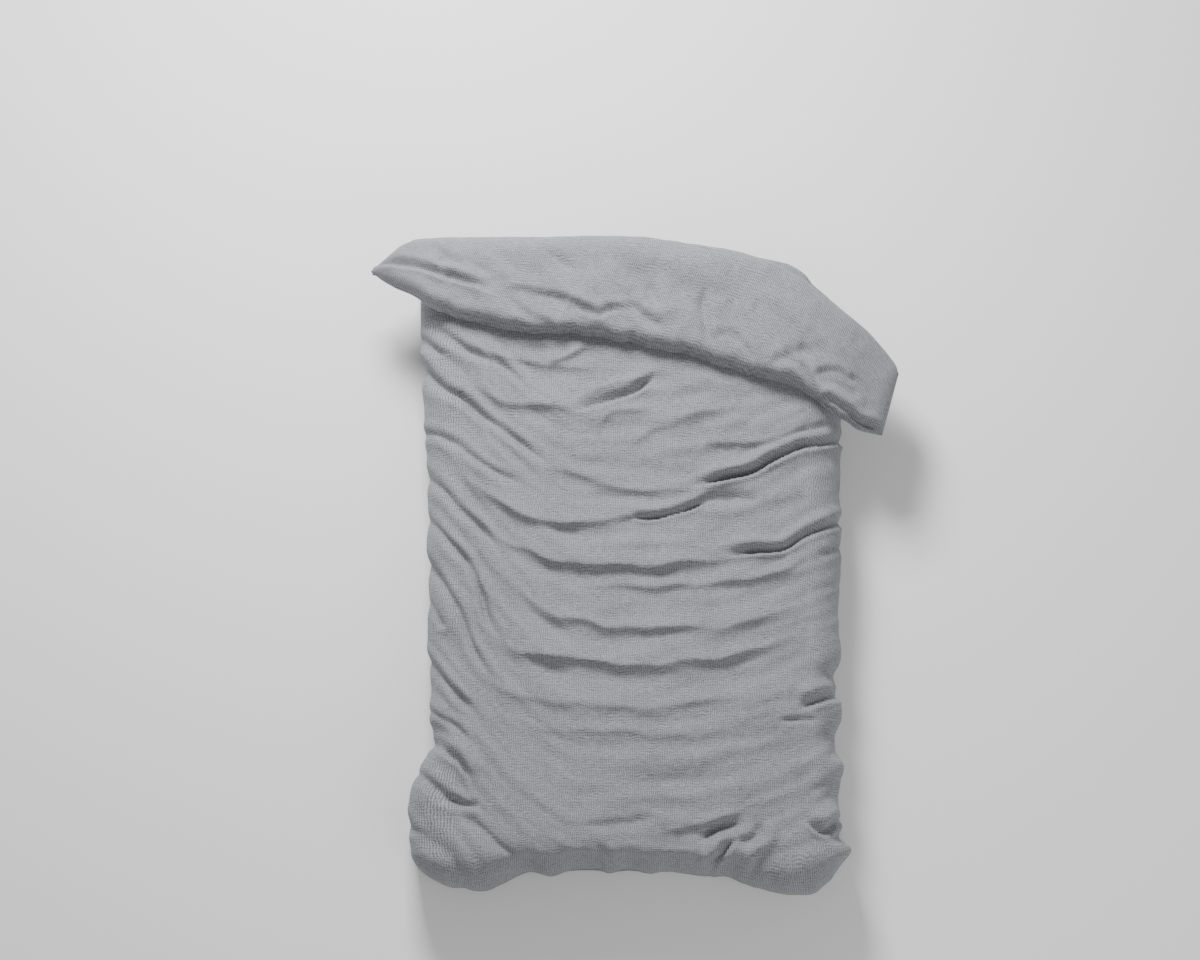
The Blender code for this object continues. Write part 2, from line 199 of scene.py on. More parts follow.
# Folds of the lying part: kind, depth and width in metres, then the path from left to right
bodyFolds = [
    ("crease", .010, .007, [(-.53, .60), (-.515, .57), (-.49, .53)]),
    ("crease", .014, .009, [(-.50, .62), (-.45, .555), (-.40, .525), (-.35, .505), (-.29, .45)]),
    ("crease", .019, .009, [(-.56, .58), (-.50, .46), (-.45, .42), (-.38, .36), (-.31, .31),
                            (-.25, .265), (-.20, .24)]),
    ("crease", .014, .008, [(-.57, .375), (-.52, .34), (-.46, .29), (-.40, .245), (-.34, .21),
                            (-.29, .19)]),
    ("crease", .014, .008, [(-.56, .28), (-.51, .20), (-.47, .14), (-.43, .10), (-.38, .05),
                            (-.35, .02)]),
    ("crease", .016, .008, [(-.56, .18), (-.52, .10), (-.47, .03), (-.43, -.02), (-.40, -.10),
                            (-.37, -.18), (-.31, -.25)]),
    ("crease", .014, .008, [(-.57, .08), (-.53, 0), (-.49, -.08), (-.45, -.17), (-.42, -.24),
                            (-.38, -.30), (-.35, -.33)]),
    ("crease", .010, .007, [(-.56, -.02), (-.53, -.10), (-.50, -.17)]),
    ("crease", .012, .008, [(-.56, -.20), (-.51, -.29), (-.47, -.34), (-.41, -.40)]),
    ("crease", .014, .008, [(-.57, -.35), (-.50, -.41), (-.46, -.44), (-.43, -.49)]),
    ("lip", .013, .008, [(-.55, -.47), (-.50, -.492), (-.45, -.53), (-.415, -.58)]),
    ("crease", .014, .008, [(-.55, -.53), (-.49, -.59), (-.45, -.65)]),
    ("crease", .014, .008, [(-.48, -.61), (-.44, -.632), (-.39, -.642)]),
    ("crease", .014, .008, [(-.60, -.60), (-.55, -.64), (-.52, -.70)]),
    ("crease", .014, .009, [(-.60, -.69), (-.575, -.74), (-.555, -.79)]),
    ("crease", .009, .012, [(-.47, -.65), (-.38, -.70), (-.33, -.75), (-.28, -.79)]),
    ("crease", .009, .012, [(-.50, -.71), (-.46, -.77), (-.43, -.83)]),
    ("ridge", .008, .015, [(-.46, .575), (-.40, .55), (-.30, .52), (-.20, .504), (-.07, .50)]),
    ("ridge", .008, .014, [(-.47, .50), (-.42, .45), (-.36, .415), (-.30, .402), (-.20, .398),
                           (-.13, .39)]),
    ("ridge", .007, .012, [(-.30, .575), (-.23, .565), (-.16, .57)]),
    ("ridge", .009, .011, [(-.235, .512), (-.19, .522), (-.155, .54), (-.11, .575)]),
    ("lip", .011, .008, [(-.175, .388), (-.12, .398), (-.05, .415), (.01, .438), (.06, .485)]),
    ("ridge", .008, .011, [(-.16, .42), (-.10, .443), (-.03, .462), (.03, .475), (.07, .51)]),
    ("ridge", .007, .013, [(-.095, .315), (-.083, .36), (-.055, .383), (.0, .386), (.06, .383)]),
    ("ridge", .007, .015, [(-.02, .295), (.04, .33), (.11, .355), (.19, .382), (.25, .39)]),
    ("roll", .006, .016, [(.17, .325), (.24, .345), (.30, .375)]),
    ("ridge", .009, .011, [(.15, .298), (.22, .30), (.32, .303), (.40, .325), (.47, .355),
                           (.56, .40)]),
    ("lip", .016, .009, [(.12, .184), (.20, .197), (.26, .209), (.31, .227), (.36, .252),
                         (.43, .281), (.50, .304), (.56, .34)]),
    ("ridge", .009, .016, [(-.26, .275), (-.19, .235), (-.12, .20), (-.05, .185), (.05, .175),
                           (.14, .181), (.22, .197)]),
    ("ridge", .011, .015, [(-.47, .225), (-.38, .165), (-.30, .12), (-.22, .093), (-.12, .092),
                           (-.04, .103), (.04, .121), (.12, .14), (.20, .172), (.30, .195)]),
    ("lip", .010, .007, [(-.02, .104), (.05, .106), (.12, .12), (.20, .152)]),
    ("crease", .008, .013, [(.16, .15), (.24, .158), (.34, .15)]),
    ("ridge", .011, .015, [(-.38, .075), (-.30, .03), (-.22, -.003), (-.10, -.020), (0, -.022),
                           (.10, -.018), (.20, -.003), (.28, .005)]),
    ("lip", .012, .008, [(.22, .006), (.30, .013), (.38, .021), (.43, .042), (.50, .082),
                         (.57, .14)]),
    ("crease", .008, .009, [(.47, .0), (.51, .03), (.57, .10)]),
    ("ridge", .010, .017, [(-.16, -.068), (0, -.072), (.10, -.072), (.20, -.066), (.30, -.055),
                           (.38, -.035), (.45, 0), (.50, .03)]),
    ("ridge", .008, .017, [(-.34, -.06), (-.26, -.115), (-.18, -.155), (-.08, -.177), (.02, -.182),
                           (.12, -.182), (.22, -.177), (.30, -.165), (.38, -.14), (.46, -.10)]),
    ("ridge", .012, .018, [(-.42, -.14), (-.36, -.20), (-.30, -.243), (-.24, -.252), (-.15, -.26),
                           (-.05, -.275), (.05, -.278), (.15, -.268), (.25, -.255), (.32, -.235),
                           (.38, -.21), (.46, -.175)]),
    ("ridge", .006, .019, [(-.40, -.29), (-.33, -.345), (-.22, -.368), (-.10, -.378), (.02, -.385),
                           (.14, -.38), (.26, -.36), (.36, -.335)]),
    ("ridge", .004, .019, [(-.36, -.40), (-.26, -.43), (-.14, -.445), (0, -.45), (.10, -.458),
                           (.22, -.445), (.34, -.43)]),
    ("roll", .004, .018, [(-.05, -.52), (.10, -.525), (.22, -.51), (.36, -.48)]),
    ("lip", .014, .010, [(.42, -.388), (.48, -.372), (.57, -.33)]),
    ("crease", .007, .006, [(.37, -.42), (.42, -.416), (.48, -.415)]),
    ("crease", .010, .010, [(.49, -.52), (.52, -.50), (.57, -.46)]),
    ("crease", .007, .010, [(.44, -.60), (.50, -.575), (.57, -.55)]),
    ("lip", .014, .010, [(.43, -.665), (.475, -.70), (.51, -.69), (.57, -.62)]),
    ("roll", .005, .016, [(-.20, -.755), (-.13, -.725), (-.06, -.705)]),
    ("crease", .007, .014, [(-.14, -.69), (-.02, -.683), (.06, -.66)]),
    ("ridge", .008, .015, [(.06, -.71), (.14, -.69), (.22, -.665), (.30, -.635)]),
    ("crease", .015, .012, [(.16, -.73), (.21, -.695), (.27, -.675)]),
    ("lip", .016, .010, [(.195, -.83), (.215, -.79), (.24, -.745), (.26, -.72)]),
    ("crease", .014, .012, [(.255, -.735), (.30, -.72), (.325, -.675)]),
    ("roll", .009, .012, [(.275, -.78), (.335, -.72), (.345, -.66)]),
    ("crease", .010, .010, [(.28, -.83), (.315, -.78), (.33, -.74)]),
    ("roll", .005, .014, [(.38, -.83), (.41, -.78), (.47, -.745)]),
    ("crease", .010, .009, [(-.09, -.74), (-.075, -.77), (-.06, -.80)]),
    ("crease", .011, .009, [(.52, -.80), (.54, -.76), (.57, -.72)]),
]

# How far the filled sides stand out or are drawn in, against how far along the bed they are
sideOutline = {
    "left": [(-.90, -.02), (-.80, .008), (-.70, .027), (-.62, .027), (-.53, .0), (-.462, -.036),
             (-.40, -.022), (-.34, -.026), (-.20, -.014), (-.05, -.020), (.03, -.011), (.15, -.016),
             (.30, -.006), (.50, .004), (.70, .012), (.90, .0)],
    "right": [(-.90, -.03), (-.80, -.022), (-.745, -.002), (-.712, -.028), (-.66, -.016),
              (-.62, -.034), (-.54, -.012), (-.467, -.034), (-.39, -.012), (-.305, -.038),
              (-.25, -.016), (-.14, -.020), (.0, -.010), (.15, -.013), (.34, -.006), (.90, -.004)],
    "foot": [(-.62, -.05), (-.50, -.022), (-.39, -.006), (-.30, -.044), (-.265, -.052),
             (-.22, -.040), (-.16, -.058), (-.10, -.062), (-.065, -.050), (-.015, -.060),
             (.04, -.046), (.09, -.052), (.18, -.040), (.24, -.042), (.30, -.016), (.44, .002),
             (.50, -.020), (.62, -.05)],
}


swag = {
    "left": 0.15,  # how far left of the middle the long folds start to climb
    "leftCurve": 1.35,
    "leftSlope": 0.5,
    "right": 0.05,
    "rightCurve": 0.55,
    # height, squeeze across, whether it hangs between the sides, scale and seed
    "layers": ((0.0085, 0.16, True, 0.062, 12.3), (0.0050, 0.3, True, 0.033, 5.9),
               (0.0055, 1.0, False, 0.15, 3.1), (0.0016, 0.5, True, 0.016, 7.1)),
}


def swags(x, y):
    # long soft folds that hang between the two sides, steeper at the left
    left, right = swag["left"], swag["right"]
    hang = np.where(x < -left, swag["leftCurve"] * (x + left) ** 2
                    + swag["leftSlope"] * np.maximum(-left - x, 0), 0)
    hang = hang + np.where(x > right, swag["rightCurve"] * (x - right) ** 2, 0)
    level = y - hang
    out = 0
    for height, squeeze, hangs, scale, seed in swag["layers"]:
        out = out + height * crumple(x * squeeze, level if hangs else y, scale, seed)
    return out


bodyCrest = [(-.70, .846), (-.58, .852), (-.40, .855), (-.117, .855), (.02, .851), (.159, .834),
             (.297, .806), (.36, .793), (.41, .780), (.452, .752), (.47, .722), (.52, .675),
             (.60, .60), (.70, .51)]


def drapeFrame(across, along):
    # place, outward normal, tilt and the sideways and footwards share of the overhang
    overSide = np.maximum(np.abs(across) - flatHalf, 0)
    overFoot = np.maximum(along - flatLength, 0)
    power = duvet["cornerPower"]
    run = (overSide ** power + overFoot ** power) ** (1 / power)
    tilt = np.minimum(run / bend, pi / 2)
    fall = bend * (1 - np.cos(tilt)) + np.maximum(run - arcRun, 0)
    fall = np.minimum(fall, middleZ)
    size = np.maximum(np.hypot(overSide, overFoot), 1e-9)
    sideways = np.sign(across) * overSide / size
    footways = -overFoot / size
    slant = crestY - valuesAlong(bodyCrest, np.clip(across, -flatHalf, flatHalf + 0.10))
    slant = slant * np.maximum(1 - along / duvet["slantFade"], 0)
    x = np.clip(across, -flatHalf, flatHalf) + sideways * bend * np.sin(tilt)
    y = crestY - np.minimum(along, flatLength) - slant + footways * bend * np.sin(tilt)
    place = np.stack([x, y, middleZ - fall], -1)
    normal = np.stack([sideways * np.sin(tilt), footways * np.sin(tilt), np.cos(tilt)], -1)
    return place, normal, np.sin(tilt), sideways, footways


def bodyHalf(across, along):  # half thickness of the lying part
    side = halfWidth - np.abs(across)
    end = alongEnd - along
    full = halfLoft - duvet["seamHalf"]
    bySide = duvet["seamHalf"] + full * rounded(side, duvet["edgeRound"])
    pinch = duvet["hemPinch"] * smooth(0.52, 0.36, np.abs(across)) + duvet["seamHalf"]
    byFoot = pinch + (halfLoft - pinch) * rounded(end, duvet["edgeRound"])
    return np.minimum(bySide, byFoot)


def bodyPlace(across, along, share):
    # share runs from -1 on the face next to the bed to 1 on the face that shows
    place, normal, over, sideways, footways = drapeFrame(across, along)
    half = bodyHalf(across, along)
    depthTop = halfLoft - half
    crest = duvet["loft"] * rounded(along, duvet["loft"])
    depthUnder = np.minimum(halfLoft + half, crest)
    depthTop = np.minimum(depthTop, depthUnder * 0.5)
    depth = depthTop + (depthUnder - depthTop) * (1 - share) / 2
    x, y = place[:, 0], place[:, 1]
    shows = np.clip((1 + share) / 2, 0, 1)
    # the part under the turned-back edge lies flat
    covered = smooth(0.0, duvet["coveredFade"], flapHemY(x) - y + duvet["coveredPast"])
    folds = creases(x, y, bodyFolds)
    soft = swags(x, y)
    least = duvet["thinFolds"]
    fade = least + (1 - least) * smooth(*duvet["thinHalf"], half)
    fade = fade * (1 - duvet["overhangLoss"] * over)
    swell = (folds * duvet["foldDepth"] + soft) * fade * shows * covered
    side = np.where(across < 0, valuesAlong(sideOutline["left"], y),
                    valuesAlong(sideOutline["right"], y))
    foot = valuesAlong(sideOutline["foot"], x)
    overhangs = smooth(-.1, .9, over)
    follows = duvet["underFollows"] + (1 - duvet["underFollows"]) * shows
    moved = side * np.abs(sideways) * overhangs * follows
    nearHem = smooth(duvet["hemReach"], 0.0, alongEnd - along)
    drawnUnder = np.minimum(foot, 0) * duvet["hemFollows"] * nearHem
    drawnTop = np.maximum(foot, drawnUnder - 2 * half + duvet["hemApart"])
    drawn = (drawnUnder + (drawnTop - drawnUnder) * shows) * np.abs(footways) * overhangs
    out = place + normal * (halfLoft - depth + swell)[:, None]
    out[:, 0] += np.sign(across) * moved
    out[:, 1] -= drawn
    out[:, 2] = np.maximum(out[:, 2], duvet["lowest"])
    return out


# Outline of the turned-back edge, left to right, at its fold and at its sewn edge
turnback = {
    "crest": [(-.625, .818), (-.598, .840), (-.53, .850), (-.40, .850), (-.25, .852),
              (-.117, .8545), (.02, .851), (.159, .834), (.297, .806), (.40, .768), (.48, .711),
              (.55, .657), (.62, .60), (.682, .527), (.694, .492)],
    "hem": [(-.692, .772), (-.645, .735), (-.585, .697), (-.521, .656), (-.41, .617), (-.30, .599),
            (-.19, .592), (-.08, .580), (.067, .549), (.15, .534), (.26, .492), (.379, .462),
            (.453, .426), (.515, .380), (.572, .346), (.646, .330)],
    "spacing": 0.0065,
    "hemRound": 0.034,
    "hemHeight": 0.14,  # height of the sewn edge, as a share of the thickness
    "sideRound": 0.07,
    "sideHalf": 0.004,
    "droop": [(-.70, .040), (-.60, .016), (-.48, .0), (.0, .0), (.48, .0), (.60, .020),
              (.70, .050)],
    "slope": 0.8,  # soft folds run down to the right
    "softLayers": ((0.010, 0.13, 5.7), (0.006, 0.07, 1.9), (0.003, 0.035, 2.9)),
    "underSoft": (0.009, 0.09, 6.2),  # height, scale and seed
    "least": 0.0008,
    "thick": [(-.70, .040), (-.60, .056), (-.45, .066), (.0, .070), (.45, .068), (.60, .058),
              (.70, .046)],
}
flapFolds = [
    ("lip", .012, .008, [(-.69, .778), (-.62, .772), (-.567, .758), (-.493, .729), (-.41, .706),
                         (-.346, .683)]),
    ("crease", .008, .009, [(-.35, .690), (-.30, .645), (-.236, .612), (-.20, .595)]),
    ("ridge", .010, .011, [(-.37, .705), (-.28, .702), (-.199, .690), (-.13, .665), (-.08, .645)]),
    ("lip", .012, .007, [(-.16, .655), (-.119, .636), (-.085, .628), (-.057, .642), (-.008, .636)]),
    ("crease", .006, .013, [(-.25, .81), (-.1625, .757), (-.10, .745)]),
    ("crease", .009, .009, [(-.02, .672), (.01, .640), (.049, .608), (.085, .602)]),
    ("roll", .007, .012, [(.02, .66), (.07, .64), (.12, .65)]),
    ("crease", .007, .011, [(.03, .72), (.049, .674), (.060, .64)]),
    ("crease", .013, .010, [(.205, .55), (.185, .60), (.181, .71)]),
    ("roll", .006, .014, [(.21, .56), (.225, .62), (.22, .69)]),
    ("crease", .008, .009, [(.20, .565), (.25, .58), (.285, .55), (.32, .50)]),
    ("crease", .007, .013, [(.34, .49), (.40, .518), (.46, .55)]),
    ("crease", .010, .008, [(.38, .52), (.425, .495), (.455, .455), (.48, .41)]),
    ("ridge", .010, .010, [(.455, .47), (.485, .490), (.53, .493), (.56, .475)]),
    ("crease", .006, .009, [(.43, .56), (.448, .53), (.455, .50)]),
    ("crease", .008, .009, [(.475, .455), (.52, .45), (.57, .425)]),
    ("lip", .012, .007, [(.505, .405), (.55, .375), (.585, .350), (.64, .338)]),
    ("crease", .006, .012, [(-.54, .84), (-.484, .784), (-.456, .75)]),
    ("crease", .006, .010, [(-.500, .77), (-.49, .74), (-.485, .71)]),
    ("crease", .006, .013, [(-.40, .83), (-.346, .784), (-.30, .74)]),
    ("crease", .007, .014, [(-.42, .775), (-.385, .735), (-.36, .70)]),
    ("roll", .005, .020, [(-.04, .80), (.10, .77), (.26, .70)]),
    ("roll", .005, .020, [(.28, .72), (.42, .64), (.52, .54)]),
]


def uneven(curve, amount, scale, seed):  # small bumps along an outline
    offsets = amount * crumple(curve[:, 0], curve[:, 1], scale, seed)
    return curve + np.stack([np.zeros(len(curve)), offsets], -1)


crestCurve = uneven(curveThrough(turnback["crest"], 12), 0.004, 0.05, 4.4)
hemCurve = uneven(curveThrough(turnback["hem"], 12), 0.009, 0.045, 7.7)


def evenly(curve, share):  # points at even shares of a curve's length
    lengths = np.hypot(*(curve[1:] - curve[:-1]).T)
    gone = np.concatenate([[0], np.cumsum(lengths)]) / lengths.sum()
    return np.stack([np.interp(share, gone, curve[:, k]) for k in (0, 1)], -1)


def flapHemY(x):
    return np.interp(x, hemCurve[:, 0], hemCurve[:, 1])


def flapPlace(across, along, share):
    # across and along run from 0 to 1; share is -1 on the face on the bed side and 1 on top
    crest = evenly(crestCurve, across)
    hem = evenly(hemCurve, across)
    length = np.hypot(*(hem - crest).T)
    xy = crest + (hem - crest) * along[:, None]
    x, y = xy[:, 0], xy[:, 1]
    fromCrest = along * length
    fromHem = (1 - along) * length
    fromSide = np.minimum(across, 1 - across) * duvet["coverWidth"]
    thick = valuesAlong(turnback["thick"], x)
    hemShare = rounded(fromHem, np.minimum(turnback["hemRound"], length * 0.45))
    low = turnback["hemHeight"]
    top = thick * rounded(fromCrest, np.minimum(duvet["loft"], length * 0.6))
    top = top * (low + (1 - low) * hemShare)
    under = thick * low * (1 - hemShare) * smooth(0, 0.04, fromCrest)
    middle = thick / 2
    ends = turnback["sideHalf"] / halfLoft + rounded(fromSide, turnback["sideRound"])
    ends = np.minimum(ends, 1)
    top = middle + (top - middle) * ends
    under = middle + (under - middle) * ends
    shows = np.clip((1 + share) / 2, 0, 1)
    folds = creases(x, y, flapFolds)
    broad, sloping, small = turnback["softLayers"]
    soft = (broad[0] * crumple(x, y, *broad[1:])
            + sloping[0] * crumple(x * 0.5, y + turnback["slope"] * x, *sloping[1:])
            + small[0] * crumple(x, y, *small[1:]))
    fade = smooth(0, 0.05, fromCrest) * smooth(0, 0.02, fromHem + 0.008) * smooth(0, .05, fromSide)
    z = under + (top - under) * shows + (folds + soft) * shows * fade
    underHeight, *underNoise = turnback["underSoft"]
    underSoft = underHeight * crumple(x + 3, y, *underNoise)
    z = z + underSoft * (1 - shows) * fade * smooth(0, 0.1, fromHem)
    z = np.maximum(z, turnback["least"]) + hingeZ - valuesAlong(turnback["droop"], x)
    return np.stack([x, y, z], -1)


swelling = {
    "pressure": 4.0,
    "frames": 20,
    "extraCloth": -0.035,  # the cover is cut a little larger than what is in it
    "most": 0.009,  # how far a point may move
    "quality": 5,
    "mass": 0.25,
    "bending": 0.3,
    "smoothing": 3,  # passes that take out what the fine grid can't follow
}


def swollen(place, across, along):
    # how far a coarse copy of a piece swells when its cover is blown up; the face below stays put
    coarse = closedShell("swellingTrial", place, across, along)
    count = len(coarse.data.vertices)
    still = coarse.vertex_groups.new(name="still")
    index = np.arange(count // 2).reshape(len(across), len(along))
    rim = np.concatenate([index[:2].ravel(), index[-2:].ravel(), index[:, :2].ravel(),
                          index[:, -2:].ravel()])
    still.add([int(k) for k in rim] + list(range(count // 2, count)), 1.0, "REPLACE")
    cloth = coarse.modifiers.new("cloth", "CLOTH")
    cloth.settings.use_pressure = True
    cloth.settings.uniform_pressure_force = swelling["pressure"]
    cloth.settings.shrink_min = swelling["extraCloth"]
    cloth.settings.vertex_group_mass = "still"
    cloth.settings.effector_weights.gravity = 0
    cloth.settings.quality = swelling["quality"]
    cloth.settings.mass = swelling["mass"]
    cloth.settings.bending_stiffness = swelling["bending"]
    cloth.point_cache.frame_start = 1
    cloth.point_cache.frame_end = swelling["frames"]
    before = np.empty(count * 3)
    coarse.data.vertices.foreach_get("co", before)
    for frameNumber in range(1, swelling["frames"] + 1):
        bpy.context.scene.frame_set(frameNumber)
    result = coarse.evaluated_get(bpy.context.evaluated_depsgraph_get())
    after = np.empty(count * 3)
    result.data.vertices.foreach_get("co", after)
    moved = (after - before).reshape(-1, 3)[:count // 2]
    size = np.maximum(np.linalg.norm(moved, axis=1), 1e-9)
    moved = moved * np.minimum(1, swelling["most"] / size)[:, None]
    bpy.data.objects.remove(coarse, do_unlink=True)
    bpy.context.scene.frame_set(1)
    print("swelling run, mean move", round(float(size.mean()), 4))
    moved = moved.reshape(len(across), len(along), 3)
    for _ in range(swelling["smoothing"]):
        moved[1:-1] = (moved[:-2] + 2 * moved[1:-1] + moved[2:]) / 4
        moved[:, 1:-1] = (moved[:, :-2] + 2 * moved[:, 1:-1] + moved[:, 2:]) / 4
    return moved


def spreadOver(moved, across, along, fineAcross, fineAlong):
    # from the coarse grid to the fine one
    out = np.empty((len(fineAcross), len(fineAlong), 3))
    for k in range(3):
        byAlong = np.array([np.interp(fineAlong, along, row) for row in moved[:, :, k]])
        out[:, :, k] = np.array([np.interp(fineAcross, across, col) for col in byAlong.T]).T
    return out.reshape(-1, 3)


def closedShell(name, place, across, along, uvScale=(1, 1), moved=None):
    # a closed shell between two faces of a piece, each a grid over across and along
    na, nb = len(across), len(along)
    aa, bb = np.meshgrid(across, along, indexing="ij")
    aa, bb = aa.ravel(), bb.ravel()
    top = place(aa, bb, np.ones(aa.shape))
    bottom = place(aa, bb, -np.ones(aa.shape))
    if moved is not None:
        top = top + moved
    index = np.arange(na * nb).reshape(na, nb)
    quads = np.stack([index[:-1, :-1], index[1:, :-1], index[1:, 1:], index[:-1, 1:]], -1)
    quads = quads.reshape(-1, 4)
    under = quads[:, ::-1] + na * nb
    rim = np.concatenate([index[:, 0], index[-1, 1:], index[-2::-1, -1], index[0, -2:0:-1]])
    ahead = np.roll(rim, -1)
    walls = np.stack([ahead, rim, rim + na * nb, ahead + na * nb], -1)
    faces = np.vstack([quads, under, walls])
    points = np.vstack([top, bottom])
    mesh = bpy.data.meshes.new(name)
    mesh.from_pydata(points.tolist(), [], faces.tolist())
    uv = np.stack([aa * uvScale[0], bb * uvScale[1]], -1)
    uv = np.vstack([uv, uv])
    layer = mesh.uv_layers.new(name="clothMetres")
    loops = np.empty(len(mesh.loops), np.int32)
    mesh.loops.foreach_get("vertex_index", loops)
    layer.data.foreach_set("uv", uv[loops].ravel())
    bm = bmesh.new()
    bm.from_mesh(mesh)
    bmesh.ops.recalc_face_normals(bm, faces=list(bm.faces))
    bm.to_mesh(mesh)
    bm.free()
    mesh.shade_smooth()
    obj = bpy.data.objects.new(name, mesh)
    bpy.context.scene.collection.objects.link(obj)
    return obj


# Finishes: maths on sockets written as expressions
class Sock:
    def __init__(self, tree, socket):
        self.tree = tree
        self.socket = socket

    def math(self, kind, other, flip=False):
        node = self.tree.nodes.new("ShaderNodeMath")
        node.operation = kind
        for slot, value in zip(node.inputs, (other, self) if flip else (self, other)):
            if isinstance(value, Sock):
                self.tree.links.new(value.socket, slot)
            else:
                slot.default_value = value
        return Sock(self.tree, node.outputs[0])

    def __add__(self, other):
        return self.math("ADD", other)

    def __sub__(self, other):
        return self.math("SUBTRACT", other)

    def __mul__(self, other):
        return self.math("MULTIPLY", other)

    def __rsub__(self, other):
        return self.math("SUBTRACT", other, True)

    __radd__ = __add__
    __rmul__ = __mul__


class Finish:
    def __init__(self, name, colour, roughness):
        self.material = bpy.data.materials.new(name)
        self.material.use_nodes = True
        self.tree = self.material.node_tree
        self.shader = self.tree.nodes["Principled BSDF"]
        self.shader.inputs["Base Color"].default_value = (*colour, 1)
        self.shader.inputs["Roughness"].default_value = roughness

    def node(self, kind, settings=None, output=0, **values):
        node = self.tree.nodes.new("ShaderNode" + kind)
        for key, value in (settings or {}).items():
            setattr(node, key, value)
        for key, value in values.items():
            slot = node.inputs[key.replace("_", " ")]
            if isinstance(value, Sock):
                self.tree.links.new(value.socket, slot)
            else:
                slot.default_value = value
        return Sock(self.tree, node.outputs[output])

    def feed(self, name, value):
        self.tree.links.new(value.socket, self.shader.inputs[name])


crinkle = {
    # the cloth's own colour, then the colour painted into the weave's hollows as shade
    "light": (0.330, 0.335, 0.359),
    "shadedHollowColour": (0.155, 0.159, 0.172),
    "ribScale": 66,  # ribs 4.8 mm apart
    "weftScale": 46,  # cross lines 6.8 mm apart
    "height": 0.0013,
    "strength": 0.75,
    "ribShare": 0.46,
    "barShare": 0.32,
    "fineShare": 0.22,
    "blotchShare": 0.12,
    "shade": (0.40, 0.68),  # heights between which the colour goes from the hollows' painted shade to the light colour
}


def crinkleCotton():
    finish = Finish("crinkleCotton", crinkle["light"], 0.95)
    cloth = finish.node("UVMap", {"uv_map": "clothMetres"})

    def streaks(acrossScale, alongScale, detail, seed):
        place = finish.node("Mapping", Vector=cloth, Location=(seed, seed * 1.7, 0),
                            Scale=(acrossScale, alongScale, 1))
        return finish.node("TexNoise", {"noise_dimensions": "2D"}, Vector=place, Scale=1.0,
                           Detail=detail, Roughness=0.55, Distortion=0.4)

    place = finish.node("Mapping", Vector=cloth, Location=(0.31, 0.17, 0))
    ribs = finish.node("TexWave", {"wave_type": "BANDS", "bands_direction": "X"}, output=1,
                       Vector=place, Scale=crinkle["ribScale"], Distortion=6.5, Detail=2.0,
                       Detail_Scale=0.75, Detail_Roughness=0.6)
    wefts = finish.node("TexWave", {"wave_type": "BANDS", "bands_direction": "Y"}, output=1,
                        Vector=place, Scale=crinkle["weftScale"], Distortion=8.0, Detail=2.0,
                        Detail_Scale=1.0, Detail_Roughness=0.6)
    patches = streaks(26, 30, 1.0, 3.0)
    bars = streaks(60, 235, 1.0, 11.0)
    fine = streaks(420, 260, 1.0, 23.0)
    blotch = streaks(9, 7, 3.0, 41.0)
    height = ((ribs * (1.15 - patches) + wefts * (patches * 0.7)) * crinkle["ribShare"]
              + bars * crinkle["barShare"] + fine * crinkle["fineShare"])
    bump = finish.node("Bump", Strength=crinkle["strength"], Distance=crinkle["height"] * 2,
                       Height=height)
    finish.feed("Normal", bump)
    # painted shade: the colour follows the same height as the bump, so the weave's hollows are
    # painted darker, and the blotch noise adds tone that differs at random
    low, high = crinkle["shade"]
    shade = finish.node("MapRange", Value=height + blotch * crinkle["blotchShare"],
                        From_Min=low, From_Max=high, To_Min=0.0, To_Max=1.0)
    colour = finish.node("Mix", {"data_type": "RGBA"}, output=2)
    mix = colour.socket.node
    mix.inputs[6].default_value = (*crinkle["shadedHollowColour"], 1)
    mix.inputs[7].default_value = (*crinkle["light"], 1)
    finish.tree.links.new(shade.socket, mix.inputs[0])
    finish.feed("Base Color", colour)
    finish.shader.inputs["Sheen Weight"].default_value = 0.12
    finish.shader.inputs["Sheen Roughness"].default_value = 0.6
    finish.shader.inputs["Specular IOR Level"].default_value = 0.18
    return finish.material


def plainCloth(name, colour, scale):
    finish = Finish(name, colour, 0.9)
    place = finish.node("TexCoord", output=3)
    weave = finish.node("TexNoise", Vector=place, Scale=scale, Detail=3.0, Roughness=0.6)
    finish.feed("Normal", finish.node("Bump", Strength=0.3, Distance=0.001, Height=weave))
    finish.feed("Roughness", weave * 0.15 + 0.8)
    return finish.material


cottonCover = crinkleCotton()
overlockThread = plainCloth("overlockThread", (0.33, 0.335, 0.35), 700)
print("finishes made")

# The cover of the lying part
crestAngles = np.linspace(radians(5), pi / 2, 9)
crestAlong = duvet["loft"] * (1 - np.cos(crestAngles))
restCount = round((alongEnd - duvet["loft"]) / duvet["spacing"])
bodyAlong = np.concatenate([crestAlong, np.linspace(duvet["loft"], alongEnd, restCount)[1:]])
bodyAcross = np.linspace(-halfWidth, halfWidth, round(duvet["coverWidth"] / duvet["spacing"]))
bodySwelling = None
coarseAcross = np.linspace(-halfWidth, halfWidth, 112)
coarseAlong = np.concatenate([crestAlong[::2], np.linspace(duvet["loft"], alongEnd, 140)[1:]])
bodySwelling = spreadOver(swollen(bodyPlace, coarseAcross, coarseAlong), coarseAcross,
                          coarseAlong, bodyAcross, bodyAlong)
duvetCover = closedShell("duvetCover", bodyPlace, bodyAcross, bodyAlong, moved=bodySwelling)
duvetCover.data.materials.append(cottonCover)
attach(duvetCover, "duvet")
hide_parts("cover_top_panel", "cover_under_panel")
print("duvet cover made")

